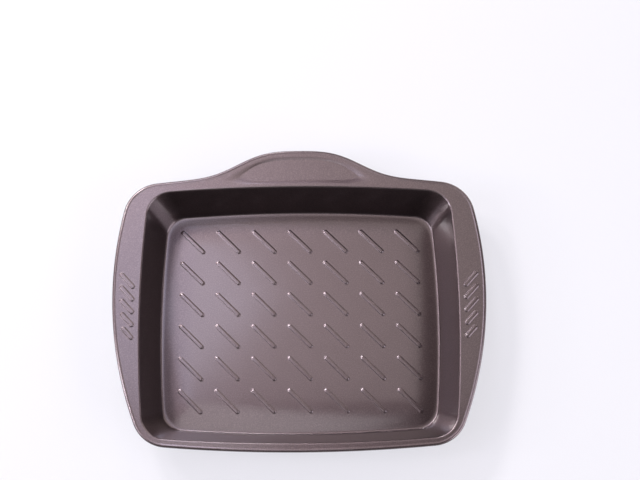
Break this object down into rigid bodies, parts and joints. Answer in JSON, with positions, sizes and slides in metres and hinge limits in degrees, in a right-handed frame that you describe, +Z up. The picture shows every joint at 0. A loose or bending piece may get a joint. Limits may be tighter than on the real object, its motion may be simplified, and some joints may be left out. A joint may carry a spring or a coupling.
{
  "type": "roasting dish",
  "caption": "Rectangular steel roasting dish with a broad grip flange each side, a hump at the back, slanting floor ribs and an edge rolled round a wire.",
  "frame": {"origin": "middle of the footprint, on the plane that the dish stands on", "axes": "+X along the length, from the left grip to the right one; +Y to the back, where the flange has its hump; +Z up, out of the dish"},
  "size_m": [0.405, 0.334, 0.0503],
  "materials": {
    "non_stick_coating": "satin mauve-brown non-stick coating on carbon steel",
    "galvanised_wire": "dull drawn wire"
  },
  "bodies": {
    "root": {"pressed_pan": "non_stick_coating", "rim_wire": "galvanised_wire"}
  },
  "joints": []
}
